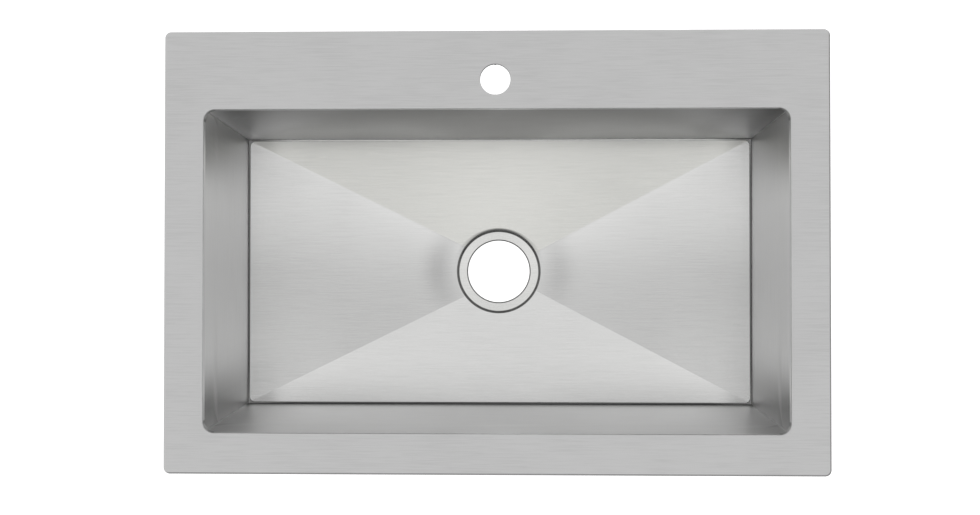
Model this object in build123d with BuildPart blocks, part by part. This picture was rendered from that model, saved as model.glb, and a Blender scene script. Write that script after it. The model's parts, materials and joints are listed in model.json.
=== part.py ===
from build123d import *
import os

# Drop-in kitchen sink with one bowl, in millimetres.
# The origin is the middle of the rim's outline, on the worktop's upper face.
# +X runs along the rim, +Y points to the tap side, +Z points up.

# Sheet steel of the deck and the bowl
sheet = 1.5

# Rim
rim_length = 838.0
rim_width = 559.0
rim_corner_radius = 8.0
rim_height = 6.0
edge_bend_radius = 2.5

# Bowl opening, set in from the rim's outline, and the lip turned down from the deck
side_rim = 50.0
front_rim = 52.0
tap_ledge = 99.0
bowl_corner_radius = 14.0
lip_depth = 10.0
lip_bend_radius = 2.0

# Bowl walls, each leaning in by its draft from the lip to its foot. Their corners sharpen just below the lip.
bowl_depth = 228.0
end_wall_draft = 7.0
long_wall_draft = 13.5
wall_corner_radius = 3.0
corner_blend_depth = 14.0

# Bowl floor: an upturned flange and bend, a shallow channel, then four facets falling to the drain
floor_flange = 1.0
floor_bend_radius = 1.0
channel_width = 0.8
channel_depth = 1.2
step_lean = 30.0
floor_corner_radius = 8.0
floor_fall = 8.0

# Drain
drain_hole_diameter = 89.0
drain_recess_diameter = 117.6
drain_seat_depth = 4.0
drain_shoulder_radius = 2.0
drain_seat_radius = 1.5
drain_edge_radius = 0.5

# Tap hole and the plate that stiffens the deck round it
tap_hole_diameter = 38.0
tap_from_bowl = 37.0
tap_edge_radius = 0.5
stiffener_length = 150.0
stiffener_width = 54.0
stiffener_thickness = 2.5
stiffener_corner_radius = 8.0

# Sprayed coat on the outside of the bowl
coat = 0.8
coat_from_top = 34.0
coat_from_drain = 6.0

# Sound-deadening pads on the coat
pad_thickness = 3.0
pad_corner_radius = 6.0
wall_pad_height = 110.0
wall_pad_from_foot = 30.0
wall_pad_from_corner = 90.0
floor_pad_from_crease = 16.0
floor_pad_from_coat_edge = 14.0
floor_pad_from_bend = 12.0

# Foam seal between rim and worktop
seal_width = 8.0
seal_gap = 1.2

# Clip rails, with the slot facing down
rail_inset = 25.0
rail_width = 18.0
rail_height = 10.0
rail_sheet = 1.5
rail_slot = 8.0
front_rail_length = 620.0
back_rail_length = 240.0
back_rail_from_end = 60.0
side_rail_length = 400.0

# Clips: T-bolt, washer, claw and wing nut
bolt_diameter = 6.0
bolt_length = 54.0
bolt_head_height = 3.5
bolt_head_clearance = 0.5
bolt_tip_chamfer = 0.8
bolt_tip_past_nut = 1.5
face_clearance = 0.2
thread_clearance = 0.05
washer_diameter = 13.0
washer_thickness = 1.4
washer_clearance = 0.2
claw_sheet = 2.5
claw_width = 16.0
claw_reach = 35.0
claw_tail = 9.0
claw_tail_radius = 6.0
claw_tooth_height = 8.0
claw_tooth_depth = 4.0
claw_tooth_count = 3
claw_bend_radius = 3.5
claw_clearance = 0.3
nut_hub_diameter = 11.0
nut_hub_height = 8.0
nut_wing_span = 29.0
nut_wing_height = 12.0
nut_wing_sheet = 2.4
nut_wing_radius = 4.0
nut_wing_root = 1.5
nut_wing_from_face = 2.0

# Places worked out from the sizes above
deck_under = rim_height - sheet
lip_bottom = rim_height - lip_depth
bowl_length = rim_length - 2 * side_rim
bowl_width = rim_width - front_rim - tap_ledge
bowl_y = -rim_width / 2 + front_rim + bowl_width / 2
tap_y = bowl_y + bowl_width / 2 + tap_from_bowl
floor_edge_z = rim_height - bowl_depth
channel_z = floor_edge_z - channel_depth
foot_z = channel_z + floor_bend_radius + floor_flange
foot_length = bowl_length - 2 * end_wall_draft
foot_width = bowl_width - 2 * long_wall_draft
floor_length = foot_length - 2 * (floor_bend_radius + channel_width)
floor_width = foot_width - 2 * (floor_bend_radius + channel_width)
drain_radius = drain_recess_diameter / 2
seat_z = floor_edge_z - floor_fall - drain_seat_depth
skin = sheet + coat
coat_edge_radius = drain_radius + sheet + coat_from_drain

# Heights of a parked clip, from its rail down to the bolt's tip
rail_under = deck_under - rail_height
bolt_head_z = rail_under + rail_sheet + face_clearance
bolt_tip_z = bolt_head_z - bolt_length
nut_z = bolt_tip_z + bolt_tip_past_nut
washer_z = nut_z + nut_hub_height + face_clearance
claw_z = washer_z + washer_thickness + face_clearance

# Directions outwards from the bowl
front = Vector(0, -1, 0)
back = Vector(0, 1, 0)
left = Vector(-1, 0, 0)
right = Vector(1, 0, 0)
up = Vector(0, 0, 1)
bowl_centre = Vector(0, bowl_y, 0)

os.makedirs("parts", exist_ok=True)


def save(piece, label):
    """Names a finished piece and writes it to its own file."""
    piece.label = label
    export_step(piece, f"parts/{label}.step")


def wall_body(grow):
    """The space between the bowl's walls, grown outwards."""
    blend_share = corner_blend_depth / (lip_bottom - foot_z)
    with BuildPart() as body:
        for share, radius in ((0, bowl_corner_radius), (blend_share, wall_corner_radius), (1, wall_corner_radius)):
            length = bowl_length - 2 * end_wall_draft * share
            width = bowl_width - 2 * long_wall_draft * share
            with BuildSketch(Plane.XY.offset(lip_bottom + (foot_z - lip_bottom) * share)):
                with Locations((0, bowl_y)):
                    RectangleRounded(length + 2 * grow, width + 2 * grow, radius + grow)
        loft(ruled=True)
    return body.part


def tray_body(grow):
    """The space inside the floor's flange and bend, down to the channel, grown outwards."""
    with BuildPart() as body:
        with BuildSketch(Plane.XY.offset(foot_z)):
            with Locations((0, bowl_y)):
                RectangleRounded(foot_length + 2 * grow, foot_width + 2 * grow, wall_corner_radius + grow)
        extrude(amount=channel_z - foot_z - grow)
        fillet(body.faces().sort_by(Axis.Z)[0].edges(), floor_bend_radius + grow)
    return body.part


def facet_body(grow):
    """The space above the floor's four facets, grown downwards and cut off inside the drain."""
    tip_share = drain_radius / floor_length
    with BuildPart() as body:
        with BuildSketch(Plane.XY.offset(floor_edge_z - grow)):
            with Locations((0, bowl_y)):
                Rectangle(floor_length, floor_width)
        with BuildSketch(Plane.XY.offset(floor_edge_z - grow - floor_fall * (1 - tip_share))):
            with Locations((0, bowl_y)):
                Rectangle(floor_length * tip_share, floor_width * tip_share)
        loft(ruled=True)
    return body.part


def drain_body(grow):
    """The space inside the drain's recess, grown outwards. Its seam lies in the middle of the back facet."""
    with BuildPart() as body:
        with BuildSketch(Plane(origin=bowl_centre + up * (seat_z - grow), x_dir=back)):
            Circle(drain_radius + grow)
        extrude(amount=channel_z - seat_z + grow)
    return body.part


# Deck: a sheet turned down at its outer edge and round the bowl opening
with BuildPart() as deck:
    with BuildSketch():
        RectangleRounded(rim_length, rim_width, rim_corner_radius)
    extrude(amount=rim_height)
    fillet(deck.faces().sort_by(Axis.Z)[-1].edges(), edge_bend_radius)
    with BuildSketch():
        RectangleRounded(rim_length - 2 * sheet, rim_width - 2 * sheet, rim_corner_radius - sheet)
    extrude(amount=deck_under, mode=Mode.SUBTRACT)
    under_face = deck.faces().filter_by(Plane.XY).filter_by_position(Axis.Z, deck_under, deck_under)[0]
    fillet(under_face.edges(), edge_bend_radius - sheet)
    with BuildSketch(Plane.XY.offset(deck_under)):
        with Locations((0, bowl_y)):
            RectangleRounded(bowl_length + 2 * sheet, bowl_width + 2 * sheet, bowl_corner_radius + sheet)
    extrude(amount=lip_bottom - deck_under)
    under_face = deck.faces().filter_by(Plane.XY).filter_by_position(Axis.Z, deck_under, deck_under)[0]
    fillet(under_face.inner_wires()[0].edges(), lip_bend_radius - sheet)
    with BuildSketch(Plane.XY.offset(rim_height)):
        with Locations((0, bowl_y)):
            RectangleRounded(bowl_length, bowl_width, bowl_corner_radius)
    extrude(amount=-lip_depth, mode=Mode.SUBTRACT)
    fillet(deck.faces().sort_by(Axis.Z)[-1].inner_wires()[0].edges(), lip_bend_radius)
    with BuildSketch(Plane.XY.offset(rim_height)):
        with Locations((0, tap_y)):
            Circle(tap_hole_diameter / 2)
    extrude(amount=-sheet, mode=Mode.SUBTRACT)
    top_circles = deck.faces().sort_by(Axis.Z)[-1].edges().filter_by(GeomType.CIRCLE)
    fillet(top_circles.sort_by(lambda edge: edge.length)[-1], tap_edge_radius)
save(deck.part, "deck")

# Bowl walls
with BuildPart() as bowl_wall:
    add(wall_body(sheet))
    add(wall_body(0), mode=Mode.SUBTRACT)
save(bowl_wall.part, "bowl_wall")

# Bowl floor
with BuildPart() as bowl_floor:
    for body in (tray_body, facet_body, drain_body):
        add(body(sheet))
    add(tray_body(0), mode=Mode.SUBTRACT)
    with BuildSketch(Plane.XY.offset(channel_z)):
        with Locations((0, bowl_y)):
            RectangleRounded(floor_length, floor_width, floor_corner_radius)
    extrude(amount=channel_depth, taper=step_lean)
    for body in (facet_body, drain_body):
        add(body(0), mode=Mode.SUBTRACT)
    round_faces = bowl_floor.faces().filter_by(GeomType.CYLINDER)
    recess_wall = round_faces.filter_by(lambda face: abs(face.radius - drain_radius) < sheet / 2)
    facet_low = floor_edge_z - floor_fall
    fillet(recess_wall.edges().filter_by_position(Axis.Z, facet_low, floor_edge_z), drain_shoulder_radius)
    seat_circles = bowl_floor.edges().filter_by(GeomType.CIRCLE).filter_by_position(Axis.Z, seat_z, seat_z)
    fillet(seat_circles, drain_seat_radius)
    with BuildSketch(Plane.XY.offset(seat_z)):
        with Locations((0, bowl_y)):
            Circle(drain_hole_diameter / 2)
    extrude(amount=-sheet, mode=Mode.SUBTRACT)
    seat_circles = bowl_floor.edges().filter_by(GeomType.CIRCLE).filter_by_position(Axis.Z, seat_z, seat_z)
    fillet(seat_circles.sort_by(lambda edge: edge.radius)[0], drain_edge_radius)
save(bowl_floor.part, "bowl_floor")

# Undercoat: a skin on the outside of walls and floor, clear of the rails and of the drain
with BuildPart() as undercoat:
    for body in (wall_body, tray_body, facet_body):
        add(body(skin))
    for body in (wall_body, tray_body, facet_body):
        add(body(sheet), mode=Mode.SUBTRACT)
    with BuildSketch(Plane.XY.offset(channel_z)):
        with Locations((0, bowl_y)):
            Circle(coat_edge_radius)
    extrude(amount=seat_z - channel_z - skin, mode=Mode.SUBTRACT)
    split(bisect_by=Plane.XY.offset(rim_height - coat_from_top), keep=Keep.BOTTOM)
save(undercoat.part, "undercoat")

# Stiffener plate round the tap hole
with BuildPart() as tap_stiffener:
    with BuildSketch(Plane.XY.offset(deck_under)):
        with Locations((0, tap_y)):
            RectangleRounded(stiffener_length, stiffener_width, stiffener_corner_radius)
            Circle(tap_hole_diameter / 2, mode=Mode.SUBTRACT)
    extrude(amount=-stiffener_thickness)
save(tap_stiffener.part, "tap_stiffener")


def wall_pad(label, outward, lip_reach, foot_reach, foot_side):
    """A pad in the middle of one wall. The reaches run from the bowl's centre to the wall's inner face."""
    lean = (lip_reach - foot_reach) / (lip_bottom - foot_z)
    rise = wall_pad_from_foot + wall_pad_height / 2
    middle = bowl_centre + outward * (foot_reach + skin + lean * rise) + up * (foot_z + rise)
    coat_face = Plane(origin=middle, x_dir=up.cross(outward), z_dir=outward - up * lean)
    with BuildPart() as pad:
        with BuildSketch(coat_face):
            RectangleRounded(foot_side - 2 * wall_pad_from_corner, wall_pad_height, pad_corner_radius)
        extrude(amount=pad_thickness)
    save(pad.part, label)


def floor_pad(label, outward, reach, half_side):
    """A pad under one facet, which reaches from the drain to an edge of the given half length."""
    slope = floor_fall / reach
    inner = coat_edge_radius + floor_pad_from_coat_edge
    outer = reach * (1 - channel_depth / floor_fall) - floor_pad_from_bend
    inner_half = inner * half_side / reach - floor_pad_from_crease
    outer_half = outer * half_side / reach - floor_pad_from_crease
    lowest = bowl_centre + up * (floor_edge_z - floor_fall - skin)
    coat_face = Plane(origin=lowest, x_dir=outward + up * slope, z_dir=outward * slope - up)
    with BuildPart() as pad:
        with BuildSketch(coat_face) as outline:
            with BuildLine():
                Polyline((inner, -inner_half), (outer, -outer_half), (outer, outer_half),
                         (inner, inner_half), close=True)
            make_face()
            fillet(outline.vertices(), pad_corner_radius)
        extrude(amount=pad_thickness)
    save(pad.part, label)


# Pads, one on each wall and one under each facet
for name, outward in (("front", front), ("back", back)):
    wall_pad(f"wall_pad_{name}", outward, bowl_width / 2, foot_width / 2, foot_length)
    floor_pad(f"floor_pad_{name}", outward, floor_width / 2, floor_length / 2)
for name, outward in (("left", left), ("right", right)):
    wall_pad(f"wall_pad_{name}", outward, bowl_length / 2, foot_length / 2, foot_width)
    floor_pad(f"floor_pad_{name}", outward, floor_length / 2, floor_width / 2)


def seal_strip(label, middle, length, width):
    """One straight strip of foam between the deck and the worktop."""
    with BuildPart() as strip:
        with BuildSketch():
            with Locations(middle):
                Rectangle(length, width)
        extrude(amount=deck_under)
    save(strip.part, label)


# Seal: two long strips, and two short ones between them
seal_inset = sheet + seal_gap + seal_width / 2
seal_x = rim_length / 2 - seal_inset
seal_y = rim_width / 2 - seal_inset
for name, side in (("front", -1), ("back", 1)):
    seal_strip(f"seal_{name}", (0, side * seal_y), rim_length - 2 * rim_corner_radius, seal_width)
for name, side in (("left", -1), ("right", 1)):
    seal_strip(f"seal_{name}", (side * seal_x, 0), seal_width, 2 * seal_y - seal_width)


def clip_rail(label, middle, along, length):
    """A C-shaped rail under the deck."""
    start = middle - along * (length / 2) + up * deck_under
    with BuildPart() as rail:
        with BuildSketch(Plane(origin=start, x_dir=up.cross(along), z_dir=along)):
            with Locations((0, -rail_height / 2)):
                Rectangle(rail_width, rail_height)
                Rectangle(rail_width - 2 * rail_sheet, rail_height - 2 * rail_sheet, mode=Mode.SUBTRACT)
            with Locations((0, -rail_height)):
                Rectangle(rail_slot, 2 * rail_sheet, mode=Mode.SUBTRACT)
        extrude(amount=length)
    save(rail.part, label)


def clip_bolt(label, base):
    """A bolt hanging in the rail's slot by a head that lies across the rail."""
    with BuildPart() as bolt:
        with BuildSketch(base.offset(bolt_head_z)):
            Rectangle(rail_slot - 2 * bolt_head_clearance,
                      rail_width - 2 * rail_sheet - 2 * bolt_head_clearance)
        extrude(amount=bolt_head_height)
        with BuildSketch(base.offset(bolt_head_z)):
            Circle(bolt_diameter / 2)
        extrude(amount=-bolt_length)
        chamfer(bolt.faces().sort_by(Axis.Z)[0].edges(), bolt_tip_chamfer)
    save(bolt.part, label)


def clip_washer(label, base):
    """A plain washer under the claw."""
    with BuildPart() as washer:
        with BuildSketch(base.offset(washer_z)):
            Circle(washer_diameter / 2)
            Circle(bolt_diameter / 2 + washer_clearance, mode=Mode.SUBTRACT)
        extrude(amount=washer_thickness)
    save(washer.part, label)


def clip_claw(label, base):
    """A bent strip with teeth at its upturned end, parked along the rail."""
    side_face = Plane(origin=base.origin, x_dir=base.x_dir, z_dir=-base.y_dir)
    end_face = Plane(origin=base.origin + base.x_dir * claw_reach, x_dir=base.y_dir, z_dir=base.x_dir)
    strip_top = claw_z + claw_sheet
    tooth_top = strip_top + claw_tooth_height
    tooth_pitch = claw_width / claw_tooth_count
    with BuildPart() as claw:
        with BuildSketch(side_face) as profile:
            with BuildLine():
                Polyline((-claw_tail, claw_z), (claw_reach, claw_z), (claw_reach, tooth_top),
                         (claw_reach - claw_sheet, tooth_top), (claw_reach - claw_sheet, strip_top),
                         (-claw_tail, strip_top), close=True)
            make_face()
            outer_corner = profile.vertices().sort_by_distance((claw_reach, claw_z))[0]
            fillet(outer_corner, claw_bend_radius)
            inner_corner = profile.vertices().sort_by_distance((claw_reach - claw_sheet, strip_top))[0]
            fillet(inner_corner, claw_bend_radius - claw_sheet)
        extrude(amount=claw_width / 2, both=True)
        upright_edges = claw.edges().filter_by(Axis.Z)
        fillet(upright_edges.sort_by(Axis(base.origin, base.x_dir))[:2], claw_tail_radius)
        with BuildSketch(base.offset(claw_z)):
            Circle(bolt_diameter / 2 + claw_clearance)
        extrude(amount=claw_sheet, mode=Mode.SUBTRACT)
        with BuildSketch(end_face):
            for notch in range(claw_tooth_count + 1):
                middle = notch * tooth_pitch - claw_width / 2
                with BuildLine():
                    Polyline((middle - tooth_pitch / 2, tooth_top), (middle, tooth_top - claw_tooth_depth),
                             (middle + tooth_pitch / 2, tooth_top), close=True)
                make_face()
        extrude(amount=-claw_sheet, mode=Mode.SUBTRACT)
    save(claw.part, label)


def clip_nut(label, base):
    """A wing nut with its flat face up and its two wings pointing down."""
    wing_length = nut_wing_span / 2 - nut_hub_diameter / 2 + nut_wing_root
    wing_middle = nut_wing_span / 2 - wing_length / 2
    wing_height = nut_z + nut_hub_height - nut_wing_from_face - nut_wing_height / 2
    with BuildPart() as nut:
        with BuildSketch(base.offset(nut_z)):
            Circle(nut_hub_diameter / 2)
        extrude(amount=nut_hub_height)
        with BuildSketch(Plane(origin=base.origin, x_dir=base.x_dir, z_dir=-base.y_dir)):
            with Locations((-wing_middle, wing_height), (wing_middle, wing_height)):
                RectangleRounded(wing_length, nut_wing_height, nut_wing_radius)
        extrude(amount=nut_wing_sheet / 2, both=True)
        with BuildSketch(base.offset(nut_z)):
            Circle(bolt_diameter / 2 + thread_clearance)
        extrude(amount=nut_hub_height, mode=Mode.SUBTRACT)
    save(nut.part, label)


# Rails: name, way outwards, middle along the side, length and the clips that it carries
rail_x = rim_length / 2 - rail_inset
rail_y = rim_width / 2 - rail_inset
back_rail_x = rim_length / 2 - back_rail_from_end - back_rail_length / 2
rails = (
    ("front", front * rail_y, 0, front_rail_length, ("front_left", "front_right")),
    ("back_left", back * rail_y, -back_rail_x, back_rail_length, ("back_left",)),
    ("back_right", back * rail_y, back_rail_x, back_rail_length, ("back_right",)),
    ("left", left * rail_x, 0, side_rail_length, ("left_front", "left_back")),
    ("right", right * rail_x, 0, side_rail_length, ("right_front", "right_back")),
)

# Each rail shares its length among its clips, which are parked in the middle of their shares
for rail_name, outward, middle, length, clip_names in rails:
    along = right if outward.X == 0 else back
    parked_way = outward.cross(up).normalized()
    clip_rail(f"clip_rail_{rail_name}", outward + along * middle, along, length)
    share = length / len(clip_names)
    for number, clip_name in enumerate(clip_names):
        place = outward + along * (middle - length / 2 + share * (number + 0.5))
        base = Plane(origin=place, x_dir=parked_way, z_dir=up)
        clip_bolt(f"clip_bolt_{clip_name}", base)
        clip_washer(f"clip_washer_{clip_name}", base)
        clip_claw(f"clip_claw_{clip_name}", base)
        clip_nut(f"clip_nut_{clip_name}", base)
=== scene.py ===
import json
import math

import bmesh
import bpy
from mathutils import Matrix, Vector
from mathutils.geometry import intersect_line_sphere_2d, tessellate_polygon

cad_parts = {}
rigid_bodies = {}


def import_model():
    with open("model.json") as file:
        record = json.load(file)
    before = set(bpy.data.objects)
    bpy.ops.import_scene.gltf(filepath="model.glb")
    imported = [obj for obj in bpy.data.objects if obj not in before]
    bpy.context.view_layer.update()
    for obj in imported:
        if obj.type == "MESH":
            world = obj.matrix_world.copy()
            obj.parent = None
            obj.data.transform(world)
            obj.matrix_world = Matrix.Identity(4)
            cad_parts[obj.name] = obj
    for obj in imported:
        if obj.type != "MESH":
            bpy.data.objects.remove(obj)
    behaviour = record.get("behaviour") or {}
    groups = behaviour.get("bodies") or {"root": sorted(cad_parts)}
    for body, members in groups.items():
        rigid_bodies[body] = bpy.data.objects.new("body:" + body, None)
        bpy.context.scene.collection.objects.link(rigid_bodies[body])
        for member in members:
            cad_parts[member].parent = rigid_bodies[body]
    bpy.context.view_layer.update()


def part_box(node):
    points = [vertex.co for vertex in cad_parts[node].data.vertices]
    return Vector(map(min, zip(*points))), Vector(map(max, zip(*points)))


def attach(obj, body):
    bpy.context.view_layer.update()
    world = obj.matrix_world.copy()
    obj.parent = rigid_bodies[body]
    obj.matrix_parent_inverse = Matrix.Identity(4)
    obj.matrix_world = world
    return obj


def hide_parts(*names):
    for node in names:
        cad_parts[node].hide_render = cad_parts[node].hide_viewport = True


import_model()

# A drop-in kitchen sink with one bowl, in metres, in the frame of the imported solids.
# The origin is the middle of the rim's outline on the worktop, +X runs along the rim,
# +Y points to the tap hole and +Z points up.
mm = 0.001

# Sheet steel and its bends
sheet = 1.5 * mm
rim_corner = 8 * mm
edge_bend = 2.5 * mm
bowl_corner = 14 * mm
lip_bend = 2 * mm
end_wall_draft = 7 * mm
long_wall_draft = 13.5 * mm
wall_corner = 1 * mm
corner_blend = 14 * mm
floor_flange = 1 * mm
floor_bend = 1 * mm
channel_width = 0.8 * mm
channel_depth = 1.2 * mm
step_lean = math.radians(30)
floor_corner = 8 * mm
floor_fall = 8 * mm
end_border = 1.5 * mm
long_border = 5 * mm
crease_width = 2.5 * mm
left_crease_lead = 24 * mm
drain_radius = 58.8 * mm
drain_hole = 44.5 * mm
drain_shoulder = 2 * mm
drain_seat_bend = 1.5 * mm
drain_edge = 1.4 * mm
tap_hole = 19 * mm
tap_edge = 1.2 * mm

# Light and shade painted into the steel's colour, where one is the plain colour. Pairs hold a value under the
# lip and one at the foot
plain_tint = (1.0, 1.0, 1.0)
lip_painted_light = 1.5
lip_corner_painted_shade = 0.7
rim_edge_loss = 0.65
rim_edge_width = 2.2 * mm
rim_edge_height = 1.1 * edge_bend
tap_edge_loss = 0.55
tap_edge_share = 0.7
tap_shade_way = (-0.5, 0.87)
back_wall_painted_light = (0.68, 1.42)
back_left_loss = (0.4, 0.3)
back_left_from = (45 * mm, 5 * mm)
back_left_gain = (0.7, 0.35)
back_right_loss = (0.55, 0.3)
back_right_from = (5 * mm, 5 * mm)
back_right_gain = (0.0, 0.45)
back_band_loss = 0.26
back_band_from = 70 * mm
back_band_half = 28 * mm
back_corner_half = 33 * mm
back_centre_loss = 0.3
front_wall_painted_light = (0.98, 1.16)
front_corner_loss = 0.4
front_corner_half = 62 * mm
front_corner_gain = (0.25, 0.35)
crease_gain_half = (28 * mm, 15 * mm)
front_centre_loss = 0.14
wall_centre_half = 100 * mm
front_foot_loss = 0.85
front_foot_half = 18 * mm
back_end_loss = (0.53, 0.58)
back_end_from = (50 * mm, -4 * mm)
back_end_half = (34 * mm, 66 * mm)
front_end_loss = (0.66, 0.5)
front_end_from = (33 * mm, 18 * mm)
front_end_half = (39 * mm, 49 * mm)
wall_corner_painted_shade = 0.7
back_channel_painted_light = 1.2
front_channel_painted_shade = 0.2
end_channel_painted_shade = 0.25
channel_corner_painted_shade = 0.5
channel_corner_fade = 25 * mm
back_facet_painted_light = 0.965
back_facet_tint = (1.0, 1.0, 0.97)
back_centre_gain = 0.17
front_facet_painted_light = 1.07
end_facet_painted_shade = 0.855
end_centre_gain = 0.08
wedge_gain = 0.08
wedge_fade = 35 * mm
centre_half = 150 * mm
back_edge_loss = 0.25
back_edge_half = 12 * mm
back_centre_share = 0.5
front_edge_loss = 0.24
front_edge_half = 32 * mm
front_centre_share = 0.65
floor_corner_gain = 0.7
floor_corner_fade = 60 * mm
drain_tint = (1.0, 1.0, 0.99)
seat_painted_light = 1.1
recess_painted_shade = 0.28
recess_back_loss = 0.7
drain_edge_painted_shade = 0.2
# Painted shade in a soft patch on each end facet beside the drain
dip_shade_left = 0.25
dip_shade_right = 0.17
dip_shade_from_drain = 88 * mm
dip_shade_half_width = 19 * mm
dip_shade_half_y = 54 * mm
dip_shade_rise = 5 * mm
underside_from = 0.9 * sheet
channel_from = 0.3 * channel_depth
past_edge = 1.0001

# Coat and pads under the bowl
coat = 0.8 * mm
coat_edge_bend = 0.3 * mm
coat_from_drain = 6 * mm
pad_thickness = 3 * mm
pad_corner = 6 * mm
pad_edge = 0.8 * mm
wall_pad_height = 110 * mm
wall_pad_from_foot = 30 * mm
wall_pad_from_corner = 90 * mm
floor_pad_from_crease = 16 * mm
floor_pad_from_coat_edge = 14 * mm
floor_pad_from_bend = 12 * mm
rib_pitch = 9 * mm
rib_width = 3.4 * mm
rib_height = 0.5 * mm
rib_margin = 9 * mm

# Plate under the tap hole with its spot welds, and the bulge of the foam seals
plate_corner = 8 * mm
plate_edge = 0.4 * mm
weld_count = 7
weld_radius = 2.6 * mm
weld_height = 0.35 * mm
weld_inset = 6 * mm
seal_bulge = 0.6 * mm

# Rails and clips
rail_sheet = 1.5 * mm
rail_slot = 8 * mm
rail_bend = 2.2 * mm
bolt_radius = 3 * mm
thread_pitch = 1 * mm
thread_depth = 0.45 * mm
thread_free = 9 * mm
bolt_head_height = 3.5 * mm
bolt_head_along = 7 * mm
bolt_head_across = 14 * mm
bolt_head_corner = 0.6 * mm
bolt_head_bevel = 0.4 * mm
bolt_tip = 0.8 * mm
washer_hole = 3.2 * mm
washer_edge = 0.25 * mm
claw_sheet = 2.5 * mm
claw_bend = 3.5 * mm
claw_bevel = 0.22 * mm
claw_tail_corner = 6 * mm
claw_hole = 3.3 * mm
claw_tooth_depth = 4 * mm
claw_tooth_count = 3
nut_hub = 5.5 * mm
nut_hub_height = 8 * mm
nut_hub_edge = 0.5 * mm
nut_neck = nut_hub - 1.2 * mm
nut_waist = nut_hub - 0.4 * mm
nut_waist_height = 2.5 * mm
nut_full_height = 5 * mm
nut_hole = 3.05 * mm
nut_wing_sheet = 2.4 * mm
nut_wing_corner = 4 * mm
nut_wing_bevel = 0.6 * mm
nut_wing_root = 1.5 * mm
nut_wing_from_face = 2 * mm

# Studio, with the camera's turns in degrees
floor_reach = 6.0
floor_gap = 0.5 * mm
floor_paint = 0.8
floor_glow_matt = 0.6
floor_glow_seen = 0.92
world_matt = 0.7
flag_paint = 0.02
flag_half = 1.5
flag_y = -0.75
flag_low = 0.05
flag_high = 1.6
flag_gap = 10 * mm
box_y = 0.165
box_z = 1.65
box_long = 1.1
box_wide = 0.27
box_brightness = 0.45
camera_sensor = 36.0
camera_lens = 45.22
camera_place = (33.8 * mm, -27.8 * mm, 1550.3 * mm)
camera_turn_x = -0.785
camera_turn_y = -1.496
camera_turn_z = 0.005

# Fineness of the meshes, with the angles of sharp edges in degrees
support = 0.5 * mm
slack = 0.1 * mm
least_corner = 0.05 * mm
least_share = 1e-9
merge_distance = 0.001 * mm
sharp_angle = 38
soft_angle = 50
corner_steps = 16
bend_steps = 6
arc_steps = 8
circle_steps = 96
washer_steps = 48
nut_steps = 40
claw_hole_steps = 32
shank_steps = 24
crease_near = math.radians(1.5)
rays_to_ends = 10
rays_at_creases = 44
rays_to_sides = 22
lip_levels = 6
wall_levels = 7
foot_levels = 3
coat_levels = 8
rib_sides = 10
thread_steps = 24
thread_sides = 4
weld_segments = 16
weld_rings = 8

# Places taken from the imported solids
deck_low, deck_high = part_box("deck")
wall_low, wall_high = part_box("bowl_wall")
floor_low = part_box("bowl_floor")[0]
coat_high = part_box("undercoat")[1]
plate_low, plate_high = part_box("tap_stiffener")
rim_x, rim_y, rim_top = deck_high
deck_under = rim_top - sheet
lip_bottom = deck_low.z
bowl_x = wall_high.x - sheet
bowl_half_y = (wall_high.y - wall_low.y) / 2 - sheet
bowl_y = (wall_high.y + wall_low.y) / 2
foot_z = wall_low.z
foot_x = bowl_x - end_wall_draft
foot_half_y = bowl_half_y - long_wall_draft
channel_z = foot_z - floor_flange - floor_bend
floor_edge_z = channel_z + channel_depth
floor_x = foot_x - floor_bend - channel_width
floor_half_y = foot_half_y - floor_bend - channel_width
crease_angle = math.atan2(floor_half_y, floor_x)
seat_z = floor_low.z + sheet
shoulder = drain_radius + drain_shoulder
skin = sheet + coat
coat_edge = drain_radius + sheet + coat_from_drain
tap_y = (plate_low.y + plate_high.y) / 2
up = Vector((0, 0, 1))
bowl_middle = Vector((0, bowl_y, 0))


# Shapes that the pieces are made from

def steps(first, last, count):
    """Evenly spaced values from first to last, both included."""
    return [first + (last - first) * number / count for number in range(count + 1)]


def bend(offset, height, radius, first, last):
    """A bend of a profile, as pairs of offset and height. Angles are in degrees."""
    turns = [math.radians(angle) for angle in steps(first, last, bend_steps)]
    return [(offset + radius * math.cos(turn), height + radius * math.sin(turn)) for turn in turns]


def rectangle(low_x, low_y, high_x, high_y):
    """The corners of a rectangle as pairs, counter-clockwise."""
    return [(low_x, low_y), (high_x, low_y), (high_x, high_y), (low_x, high_y)]


def at_height(outline, height):
    """Points at one height over pairs of X and Y."""
    return [Vector((x, y, height)) for x, y in outline]


def turned(profile, count=circle_steps, middle_y=0.0):
    """Circles about an upright axis on the middle line, from pairs of radius and height."""
    turns = steps(0, 2 * math.pi, count)[:-1]
    return [[Vector((radius * math.cos(turn), middle_y + radius * math.sin(turn), height)) for turn in turns]
            for radius, height in profile]


def round_middle(reaches, directions, middle_y, height):
    """Points about a place of the middle line. The height is a number or depends on the place."""
    points = []
    for reach, angle in zip(reaches, directions):
        x = reach * math.cos(angle)
        y = reach * math.sin(angle)
        z = height(x, y) if callable(height) else height
        points.append(Vector((x, middle_y + y, z)))
    return points


def ray_directions():
    """Directions from the drain, in radians, close together where they meet the bowl's corners."""
    before = crease_angle - crease_near
    after = crease_angle + crease_near
    quarter = steps(0, before, rays_to_ends)[:-1] + steps(before, after, rays_at_creases)
    quarter += steps(after, math.pi / 2, rays_to_sides)[1:]
    half = quarter + [math.pi - angle for angle in reversed(quarter[:-1])]
    return half + [math.pi + angle for angle in half[1:-1]]


rays = ray_directions()


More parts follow.
